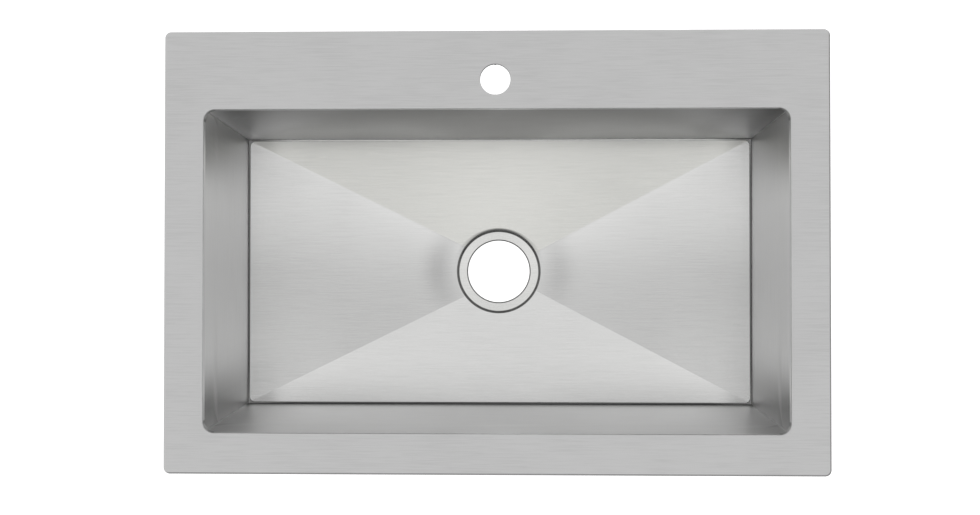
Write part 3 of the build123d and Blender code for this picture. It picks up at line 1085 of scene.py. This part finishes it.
class Growth(Nodes):
    """A geometry node tree with named inputs, which adds to the mesh that it is given."""

    def __init__(self, name, **inputs):
        super().__init__(bpy.data.node_groups.new(name, "GeometryNodeTree"))
        self.tree.interface.new_socket("Geometry", in_out="INPUT", socket_type="NodeSocketGeometry")
        for label, kind in inputs.items():
            self.tree.interface.new_socket(label, in_out="INPUT", socket_type=f"NodeSocket{kind}")
        self.tree.interface.new_socket("Geometry", in_out="OUTPUT", socket_type="NodeSocketGeometry")
        self.given = self.tree.nodes.new("NodeGroupInput").outputs

    def value(self, operation, *terms):
        """A sum over numbers and outputs."""
        return self.node("ShaderNodeMath", *enumerate(terms), operation=operation).outputs[0]

    def vector(self, x=0.0, y=0.0, z=0.0):
        """A vector from three numbers or outputs."""
        return self.node("ShaderNodeCombineXYZ", ("X", x), ("Y", y), ("Z", z)).outputs[0]

    def copies(self, points, instance, size):
        """Copies of a mesh on points, each scaled to a size."""
        placed = self.node("GeometryNodeInstanceOnPoints", ("Points", points), ("Instance", instance),
                           ("Scale", size))
        return placed.outputs[0]

    def moved(self, mesh, x=0.0, y=0.0, z=0.0):
        """A mesh moved by three numbers or outputs."""
        move = self.node("GeometryNodeTransform", ("Geometry", mesh), ("Translation", self.vector(x, y, z)))
        return move.outputs[0]

    def finish(self, grown):
        """Joins what was grown to the given mesh, as real faces with the given material."""
        joined = self.node("GeometryNodeJoinGeometry", (0, self.given["Geometry"]), (0, grown))
        real = self.node("GeometryNodeRealizeInstances", (0, joined.outputs[0]))
        painted = self.node("GeometryNodeSetMaterial", ("Geometry", real.outputs[0]),
                            ("Material", self.given["Material"]))
        self.node("NodeGroupOutput", (0, painted.outputs[0]))
        return self.tree


def grow(mesh, tree, **inputs):
    """The plain mesh that a tree makes from a given mesh."""
    carrier = bpy.data.objects.new(mesh.name, mesh)
    bpy.context.scene.collection.objects.link(carrier)
    modifier = carrier.modifiers.new("growth", "NODES")
    modifier.node_group = tree
    names = {item.name: item.identifier for item in tree.interface.items_tree if item.in_out == "INPUT"}
    for label, value in inputs.items():
        modifier[names[label]] = value
    evaluated = carrier.evaluated_get(bpy.context.evaluated_depsgraph_get())
    grown = bpy.data.meshes.new_from_object(evaluated)
    grown.name = mesh.name
    bpy.data.objects.remove(carrier)
    return grown


def rib_growth():
    """Half-round ribs across a pad, as long as the pad is wide at their place."""
    growth = Growth("pad_ribs", Count="Int", Start="Float", Pitch="Float", Level="Float", Width="Float",
                    Height="Float", First_half="Float", Half_gain="Float", Material="Material")
    given = growth.given
    line = growth.node("GeometryNodeMeshLine", ("Count", given["Count"]),
                       ("Start Location", growth.vector(given["Start"], 0.0, given["Level"])),
                       ("Offset", growth.vector(given["Pitch"])))
    bar = growth.node("GeometryNodeMeshCylinder", ("Vertices", rib_sides), ("Radius", 1.0), ("Depth", 2.0))
    laid = growth.node("GeometryNodeTransform", ("Geometry", bar.outputs["Mesh"]),
                       ("Rotation", (math.pi / 2, 0, 0)))
    index = growth.node("GeometryNodeInputIndex").outputs[0]
    half = growth.value("MULTIPLY_ADD", index, given["Half_gain"], given["First_half"])
    size = growth.vector(growth.value("MULTIPLY", given["Width"], 0.5), half, given["Height"])
    return growth.finish(growth.copies(line.outputs[0], laid.outputs[0], size))


def thread_growth():
    """A helical thread round a shank."""
    growth = Growth("bolt_thread", Radius="Float", Depth="Float", Turns="Float", Length="Float",
                    Bottom="Float", Material="Material")
    given = growth.given
    helix = growth.node("GeometryNodeCurveSpiral", ("Resolution", thread_steps),
                        ("Rotations", given["Turns"]), ("Height", given["Length"]),
                        ("Start Radius", given["Radius"]), ("End Radius", given["Radius"]))
    crest = growth.node("GeometryNodeCurvePrimitiveCircle", ("Resolution", thread_sides),
                        ("Radius", given["Depth"]))
    thread = growth.node("GeometryNodeCurveToMesh", ("Curve", helix.outputs[0]),
                         ("Profile Curve", crest.outputs[0]), ("Fill Caps", True))
    return growth.finish(growth.moved(thread.outputs[0], z=given["Bottom"]))


def weld_growth():
    """Two rows of low domes, the spot welds of a plate."""
    growth = Growth("spot_welds", Count="Int", Long="Float", Wide="Float", Level="Float", Middle="Float",
                    Radius="Float", Height="Float", Material="Material")
    given = growth.given
    rows = growth.node("GeometryNodeMeshGrid", ("Size X", given["Long"]), ("Size Y", given["Wide"]),
                       ("Vertices X", given["Count"]), ("Vertices Y", 2))
    places = growth.moved(rows.outputs["Mesh"], y=given["Middle"], z=given["Level"])
    dome = growth.node("GeometryNodeMeshUVSphere", ("Segments", weld_segments), ("Rings", weld_rings),
                       ("Radius", 1.0))
    size = growth.vector(given["Radius"], given["Radius"], given["Height"])
    return growth.finish(growth.copies(places, dome.outputs["Mesh"], size))


pad_ribs = rib_growth()
bolt_thread = thread_growth()
spot_welds = weld_growth()


# Pads on the coat: slabs with soft edges and half-round ribs

def rounded_polygon(corners, radius):
    """A flat polygon with rounded corners, from corner points given as pairs."""
    points = []
    for number, corner in enumerate(corners):
        here = Vector(corner)
        before = (Vector(corners[number - 1]) - here).normalized()
        after = (Vector(corners[(number + 1) % len(corners)]) - here).normalized()
        half = before.angle(after) / 2
        centre = here + (before + after).normalized() * (radius / math.sin(half))
        start = here + before * (radius / math.tan(half)) - centre
        end = here + after * (radius / math.tan(half)) - centre
        turn = start.angle_signed(end)
        points += [centre + Matrix.Rotation(-turn * share, 2) @ start for share in steps(0, 1, arc_steps)]
    return points


def shrunk(corners, by):
    """A convex polygon, listed counter-clockwise, with its sides moved inwards."""
    moved = []
    for number, corner in enumerate(corners):
        here = Vector(corner)
        into = (here - Vector(corners[number - 1])).normalized()
        out = (Vector(corners[(number + 1) % len(corners)]) - here).normalized()
        normal = Vector((-into.y, into.x))
        following = Vector((-out.y, out.x))
        moved.append(here + (normal + following) * (by / (1 + normal.dot(following))))
    return moved


def slab(name, corners, corner_radius, thickness, edge):
    """A flat slab on Z = 0 with rounded corners and a rounded upper edge."""
    profile = [(0.0, 0.0), *bend(-edge, thickness - edge, edge, 0, 90)]
    rings = []
    for offset, height in profile:
        outline = rounded_polygon(shrunk(corners, -offset), max(corner_radius + offset, edge))
        rings.append(at_height(outline, height))
    shell = Shell()
    shell.block(rings)
    return shell.mesh(name)


def pad(node, start, end, start_half, end_half, place):
    """A pad between two lines X = start and X = end of its own plane, with half widths at both."""
    corners = [(start, -start_half), (end, -end_half), (end, end_half), (start, start_half)]
    plain = slab(node, corners, pad_corner, pad_thickness, pad_edge)
    gain = (end_half - start_half) / (end - start)
    count = int((end - start - 2 * rib_margin) / rib_pitch) + 1
    first = (start + end - (count - 1) * rib_pitch) / 2
    first_half = start_half + gain * (first - start) - rib_margin
    ribbed = grow(plain, pad_ribs, Count=count, Start=first, Pitch=rib_pitch, Level=pad_thickness,
                  Width=rib_width, Height=rib_height, First_half=first_half, Half_gain=gain * rib_pitch,
                  Material=pad_finish)
    ribbed.transform(place)
    show(f"sink_{node}", ribbed, pad_finish, "sink", node, "damping_pad")


def plane(origin, along, normal):
    """The place of a flat piece whose X runs along and whose Z points along the normal."""
    along = along.normalized()
    normal = normal.normalized()
    columns = (along, normal.cross(along), normal)
    turn = Matrix([[column[row] for column in columns] for row in range(3)])
    return Matrix.Translation(origin) @ turn.to_4x4()


def wall_pad(node, outward, lip_reach, foot_reach, foot_side):
    """A pad flat on the outside of a leaning wall."""
    lean = (lip_reach - foot_reach) / (lip_bottom - foot_z)
    rise = wall_pad_from_foot + wall_pad_height / 2
    middle = bowl_middle + outward * (foot_reach + skin + lean * rise) + up * (foot_z + rise)
    half_length = foot_side / 2 - wall_pad_from_corner
    place = plane(middle, up.cross(outward), outward - up * lean)
    pad(node, -half_length, half_length, wall_pad_height / 2, wall_pad_height / 2, place)


def floor_pad(node, outward, reach, half_side):
    """A pad flat under one facet of the floor, clear of its creases."""
    slope = floor_fall / (reach + (left_crease_lead if outward.x < 0 else 0.0))
    inner = coat_edge + floor_pad_from_coat_edge
    outer = reach * (1 - channel_depth / floor_fall) - floor_pad_from_bend
    inner_half = inner * half_side / reach - floor_pad_from_crease
    outer_half = outer * half_side / reach - floor_pad_from_crease
    lowest = bowl_middle + up * (floor_edge_z - slope * reach - skin)
    place = plane(lowest, outward + up * slope, outward * slope - up)
    pad(node, inner, outer, inner_half, outer_half, place)


for side, outward in (("front", Vector((0, -1, 0))), ("back", Vector((0, 1, 0)))):
    wall_pad(f"wall_pad_{side}", outward, bowl_half_y, foot_half_y, 2 * foot_x)
    floor_pad(f"floor_pad_{side}", outward, floor_half_y, floor_x)
for side, outward in (("left", Vector((-1, 0, 0))), ("right", Vector((1, 0, 0)))):
    wall_pad(f"wall_pad_{side}", outward, bowl_x, foot_x, 2 * foot_half_y)
    floor_pad(f"floor_pad_{side}", outward, floor_x, floor_half_y)


# Plate under the tap hole

def tap_plate():
    """A plate with rounded corners, a hole and two rows of spot welds."""
    size_y = plate_high.y - plate_low.y
    outline = Outline(plate_high.x, size_y / 2, plate_corner, tap_y)
    profile = [(0.0, plate_high.z), *bend(-plate_edge, plate_low.z + plate_edge, plate_edge, 0, -90)]
    rings = outline.rings(profile)
    hole_profile = [(tap_hole, plate_high.z), (tap_hole, plate_low.z + plate_edge)]
    hole_profile += [(tap_hole + plate_edge, plate_low.z)]
    hole = turned(hole_profile, middle_y=tap_y)
    shell = Shell()
    shell.sweep(rings)
    shell.sweep(hole)
    shell.fill(rings[0], hole[0])
    shell.fill(rings[-1], hole[-1])
    return grow(shell.mesh("tap_plate"), spot_welds, Count=weld_count, Long=2 * (plate_high.x - weld_inset),
                Wide=size_y - 2 * weld_inset, Level=plate_low.z, Middle=tap_y, Radius=weld_radius,
                Height=weld_height, Material=rail_finish)


show("sink_tap_plate", tap_plate(), rail_finish, "sink", "tap_stiffener", "rail_steel")


# Straight pieces of one cross-section: foam seals and clip rails

class Bar:
    """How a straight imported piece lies: its middle at the bottom, its way along and its sizes."""

    def __init__(self, node):
        low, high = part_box(node)
        size = high - low
        self.node = node
        self.middle = Vector(((low.x + high.x) / 2, (low.y + high.y) / 2, low.z))
        self.along = Vector((1, 0, 0)) if size.x > size.y else Vector((0, 1, 0))
        self.length = max(size.x, size.y)
        self.half = min(size.x, size.y) / 2
        self.height = size.z

    def mesh(self, outline, sharp=sharp_angle):
        """The bar's mesh. The outline holds pairs of the way across and the height."""
        across = up.cross(self.along)
        ends = []
        for side in (-0.5, 0.5):
            end = self.middle + self.along * (self.length * side)
            ends.append([end + across * y + up * z for y, z in outline])
        shell = Shell()
        shell.block(ends)
        return shell.mesh(self.node, sharp)


def mirrored(outline):
    """The other half of a cross-section, in the same order."""
    return [(-across, height) for across, height in outline]


def seal(node):
    """Foam tape that bulges a little at its free side faces, where the rim squeezes it."""
    bar = Bar(node)
    flat = bar.half - seal_bulge
    flank = [(flat + seal_bulge * math.sin(math.pi * share), bar.height * share)
             for share in steps(0, 1, arc_steps)]
    tape = bar.mesh(flank + mirrored(flank[::-1]), soft_angle)
    show(f"sink_{node}", tape, seal_finish, "sink", node, "seal_foam")


def rail(node):
    """A strip folded to a C, with its slot facing down."""
    bar = Bar(node)
    bend_across = bar.half - rail_bend
    bend_height = bar.height - rail_bend

    def side(start, radius):
        """One face of the folded strip on one side, from the slot round both bends."""
        lower = bend(bend_across, rail_bend, radius, -90, 0)
        return [(rail_slot / 2, start), *lower, *bend(bend_across, bend_height, radius, 0, 90)]

    outer = side(0.0, rail_bend)
    inner = side(rail_sheet, rail_bend - rail_sheet)
    strip = bar.mesh(outer + mirrored(outer[::-1]) + mirrored(inner) + inner[::-1])
    show(f"sink_{node}", strip, rail_finish, "sink", node, "rail_steel")


for side in ("front", "back", "left", "right"):
    seal(f"seal_{side}")
for side in ("front", "back_left", "back_right", "left", "right"):
    rail(f"clip_rail_{side}")


# Clips, each made about its own axis and then put in its place

def bevelled(mesh, width):
    """A mesh with its sharp edges rounded."""
    form = bmesh.new()
    form.from_mesh(mesh)
    sharp = math.radians(sharp_angle)
    edges = [edge for edge in form.edges if edge.is_manifold and edge.calc_face_angle() > sharp]
    bmesh.ops.bevel(form, geom=edges, offset=width, segments=2, profile=0.5, affect="EDGES",
                    clamp_overlap=True)
    form.to_mesh(mesh)
    form.free()
    return smoothed(mesh, soft_angle)


def join(name, *meshes):
    """One mesh from several."""
    form = bmesh.new()
    for mesh in meshes:
        form.from_mesh(mesh)
    joined = bpy.data.meshes.new(name)
    form.to_mesh(joined)
    form.free()
    return smoothed(joined, soft_angle)


def bolt(low, high):
    """A T-bolt: a head that lies across the rail and a threaded shank."""
    head_z = high - bolt_head_height
    half_along = bolt_head_along / 2
    half_across = bolt_head_across / 2
    outline = rounded_polygon(rectangle(-half_along, -half_across, half_along, half_across), bolt_head_corner)
    head = Shell()
    head.block([at_height(outline, height) for height in (head_z, high)])
    core = bolt_radius - thread_depth
    thread_end = head_z - thread_free
    profile = [(core - bolt_tip, low), (core, low + bolt_tip), (core, thread_end),
               (bolt_radius, thread_end + thread_depth), (bolt_radius, head_z)]
    shank = Shell()
    shank.block(turned(profile, shank_steps))
    joined = join("bolt", bevelled(head.mesh("bolt_head"), bolt_head_bevel), shank.mesh("bolt_shank"))
    length = thread_end - low - 2 * bolt_tip
    return grow(joined, bolt_thread, Radius=core, Depth=thread_depth, Turns=length / thread_pitch,
                Length=length, Bottom=low + bolt_tip, Material=clip_finish)


def washer(low, high, radius):
    """A stamped washer with a rounded upper edge."""
    profile = [(washer_hole, low), (radius, low)]
    profile += bend(radius - washer_edge, high - washer_edge, washer_edge, 0, 90)
    profile += [(washer_hole, high)]
    shell = Shell()
    shell.sweep(turned(profile, washer_steps), closed=True)
    return shell.mesh("washer")


def claw(low, tooth_top, tail, reach, half_width):
    """A strip with a hole, bent up at its end, where three teeth are cut."""
    bend_x = reach - claw_bend
    bend_z = low + claw_bend
    tail_x = tail + claw_tail_corner
    tail_y = claw_tail_corner - half_width
    outline = [(bend_x, -half_width)]
    outline += [(tail_x - claw_tail_corner * math.sin(turn), tail_y - claw_tail_corner * math.cos(turn))
                for turn in steps(0, math.pi / 2, arc_steps)]
    outline += [(x, -y) for x, y in reversed(outline)]
    levels = (low, low + claw_sheet)
    flat = [at_height(outline, level) for level in levels]
    hole = turned([(claw_hole, level) for level in levels], claw_hole_steps)
    shell = Shell()
    shell.wall(*flat)
    shell.sweep(hole)
    for face, opening in zip(flat, hole):
        shell.fill(face, opening)

    outer = bend(bend_x, bend_z, claw_bend, -90, 0)
    inner = bend(bend_x, bend_z, claw_bend - claw_sheet, -90, 0)
    sections = []
    for (outer_x, outer_z), (inner_x, inner_z) in zip(outer, inner):
        sections.append([Vector((outer_x, -half_width, outer_z)), Vector((outer_x, half_width, outer_z)),
                         Vector((inner_x, half_width, inner_z)), Vector((inner_x, -half_width, inner_z))])
    shell.sweep(sections)

    pitch = 2 * half_width / claw_tooth_count
    valley = tooth_top - claw_tooth_depth
    crown = [(half_width, bend_z), (half_width, valley)]
    for tooth in range(claw_tooth_count):
        edge = half_width - tooth * pitch
        crown += [(edge - pitch / 2, tooth_top), (edge - pitch, valley)]
    crown += [(-half_width, bend_z)]
    faces = [[Vector((x, y, z)) for y, z in crown] for x in (reach - claw_sheet, reach)]
    shell.wall(*faces)
    for face in faces:
        shell.fill(face)
    return bevelled(shell.mesh("claw"), claw_bevel)


def wing_nut(low, high, span):
    """A wing nut with its flat face up and its wings pointing down."""
    hub_low = high - nut_hub_height
    profile = [(nut_hole, hub_low), (nut_neck, hub_low), (nut_waist, hub_low + nut_waist_height),
               (nut_hub, hub_low + nut_full_height)]
    profile += bend(nut_hub - nut_hub_edge, high - nut_hub_edge, nut_hub_edge, 0, 90)
    profile += [(nut_hole, high)]
    hub = Shell()
    hub.sweep(turned(profile, nut_steps), closed=True)
    parts = [hub.mesh("nut_hub")]
    for side in (-1, 1):
        near_x, far_x = sorted((side * (nut_hub - nut_wing_root), side * span / 2))
        outline = rounded_polygon(rectangle(near_x, low, far_x, high - nut_wing_from_face), nut_wing_corner)
        faces = (-nut_wing_sheet / 2, nut_wing_sheet / 2)
        wing = Shell()
        wing.block([[Vector((x, y, z)) for x, z in outline] for y in faces])
        parts.append(bevelled(wing.mesh("nut_wing"), nut_wing_bevel))
    return join("wing_nut", *parts)


clip_finishes = {
    "bolt": (clip_finish, "clip_zinc"),
    "washer": (clip_finish, "clip_zinc"),
    "claw": (claw_finish, "claw_steel"),
    "nut": (nut_finish, "clip_zinc"),
}


def clip(name):
    """The four pieces of one clip, each on its own body."""
    bolt_low, bolt_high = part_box(f"clip_bolt_{name}")
    washer_low, washer_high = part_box(f"clip_washer_{name}")
    claw_low, claw_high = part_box(f"clip_claw_{name}")
    nut_low, nut_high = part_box(f"clip_nut_{name}")
    axis = (bolt_low + bolt_high) / 2
    axis.z = 0.0
    parked = (claw_low + claw_high) / 2 - axis
    parked.z = 0.0
    place = plane(axis, parked, up)
    claw_ways = [(corner - axis).dot(parked.normalized()) for corner in (claw_low, claw_high)]
    claw_sides = [abs((corner - axis).dot(up.cross(parked.normalized()))) for corner in (claw_low, claw_high)]
    nut_span = max(nut_high.x - nut_low.x, nut_high.y - nut_low.y)
    meshes = {
        "bolt": bolt(bolt_low.z, bolt_high.z),
        "washer": washer(washer_low.z, washer_high.z, (washer_high.x - washer_low.x) / 2),
        "claw": claw(claw_low.z, claw_high.z, min(claw_ways), max(claw_ways), max(claw_sides)),
        "nut": wing_nut(nut_low.z, nut_high.z, nut_span),
    }
    for part, mesh in meshes.items():
        mesh.transform(place)
        finish, slot = clip_finishes[part]
        show(f"{part}_{name}", mesh, finish, f"{part}_{name}", f"clip_{part}_{name}", slot)


for name in ("front_left", "front_right", "back_left", "back_right",
             "left_front", "left_back", "right_front", "right_back"):
    clip(name)


# Floor, light and camera

def seen_level(nodes, matt, seen):
    """One strength for matt light, and another for the camera, reflections and clear surfaces."""
    light_path = nodes.node("ShaderNodeLightPath")
    share = light_path.outputs["Is Camera Ray"]
    for kind in ("Is Glossy Ray", "Is Transmission Ray"):
        either = nodes.node("ShaderNodeMath", (0, share), (1, light_path.outputs[kind]), operation="MAXIMUM")
        share = either.outputs[0]
    strength = nodes.node("ShaderNodeMapRange", ("Value", share), ("To Min", matt), ("To Max", seen))
    return strength.outputs["Result"]


def flat_stage(name, corners, material):
    """A flat piece of the studio, which isn't part of the sink."""
    mesh = bpy.data.meshes.new(name)
    mesh.from_pydata(corners, [], [(0, 1, 2, 3)])
    mesh.materials.append(material)
    board = bpy.data.objects.new(name, mesh)
    bpy.context.scene.collection.objects.link(board)
    return board


def white_floor():
    """A pale floor under the sink that keeps a faint shadow. It is clear when seen from below."""
    material = bpy.data.materials.new("floor_white")
    material.use_nodes = True
    nodes = Nodes(material.node_tree)
    nodes.tree.nodes.clear()
    paint = nodes.node("ShaderNodeBsdfDiffuse", ("Color", (floor_paint, floor_paint, floor_paint, 1)))
    strength = seen_level(nodes, floor_glow_matt, floor_glow_seen)
    glow = nodes.node("ShaderNodeEmission", ("Strength", strength))
    both = nodes.node("ShaderNodeAddShader", (0, paint.outputs[0]), (1, glow.outputs[0]))
    clear = nodes.node("ShaderNodeBsdfTransparent")
    facing = nodes.node("ShaderNodeNewGeometry")
    sides = nodes.node("ShaderNodeMixShader", ("Fac", facing.outputs["Backfacing"]),
                       (1, both.outputs[0]), (2, clear.outputs[0]))
    nodes.node("ShaderNodeOutputMaterial", ("Surface", sides.outputs[0]))
    corners = rectangle(-floor_reach, -floor_reach, floor_reach, floor_reach)
    flat_stage("floor", at_height(corners, floor_low.z - floor_gap), material)


def white_world():
    """White to the camera and in reflections, softer on matt surfaces."""
    world = bpy.data.worlds.new("studio")
    bpy.context.scene.world = world
    world.use_nodes = True
    tree = world.node_tree
    background = tree.nodes["Background"]
    background.inputs["Color"].default_value = (1, 1, 1, 1)
    tree.links.new(seen_level(Nodes(tree), world_matt, 1.0), background.inputs["Strength"])


def front_flag():
    """A black board before the sink, out of the camera's sight, which darkens the back wall of the bowl."""
    black = Finish("flag_black", metallic=0.0, roughness=0.5)
    black.set("Base Color", (flag_paint, flag_paint, flag_paint, 1))
    black.set("Specular IOR Level", 0.0)
    corners = [(x, flag_y, z) for x, z in rectangle(-flag_half, flag_low, flag_half, flag_high)]
    flat_stage("front_flag", corners, black.material).visible_camera = False


def lamp(name, place, turn, long, wide, brightness, lit, unlit):
    """An area lamp whose face adds a brightness to what reflects it. It leaves the unlit pieces alone."""
    light = bpy.data.lights.new(name, "AREA")
    light.shape = "RECTANGLE"
    light.size = long
    light.size_y = wide
    light.energy = brightness * math.pi * long * wide
    holder = bpy.data.objects.new(name, light)
    holder.matrix_world = Matrix.Translation(place) @ Matrix.Rotation(turn, 4, "X")
    bpy.context.scene.collection.objects.link(holder)
    receivers = bpy.data.collections.new(f"{name}_receivers")
    for piece in lit + unlit:
        receivers.objects.link(bpy.data.objects[piece])
    for entry, piece in zip(receivers.collection_objects, receivers.objects):
        entry.light_linking.link_state = "EXCLUDE" if piece.name in unlit else "INCLUDE"
    holder.light_linking.receiver_collection = receivers


def camera():
    """The photograph's view, straight down on the bowl with a slight lean."""
    data = bpy.data.cameras.new("camera")
    data.sensor_fit = "HORIZONTAL"
    data.sensor_width = camera_sensor
    data.lens = camera_lens
    view = bpy.data.objects.new("camera", data)
    bpy.context.scene.collection.objects.link(view)
    lean = Matrix.Identity(3)
    for axis, turn in (("Z", camera_turn_z), ("Y", camera_turn_y), ("X", camera_turn_x)):
        lean = lean @ Matrix.Rotation(math.radians(turn), 3, axis)
    view.matrix_world = Matrix.Translation(camera_place) @ lean.transposed().to_4x4()
    bpy.context.scene.camera = view


white_floor()
white_world()
front_flag()
lamp("soft_box", (0.0, box_y, box_z), 0.0, box_long, box_wide, box_brightness, [], ["sink_deck"])
lamp("rim_light", (0.0, flag_y + flag_gap, (flag_low + flag_high) / 2), math.pi / 2, 2 * flag_half,
     flag_high - flag_low, 1.0, ["sink_deck"], [])
camera()
bpy.context.scene.view_settings.view_transform = "Standard"
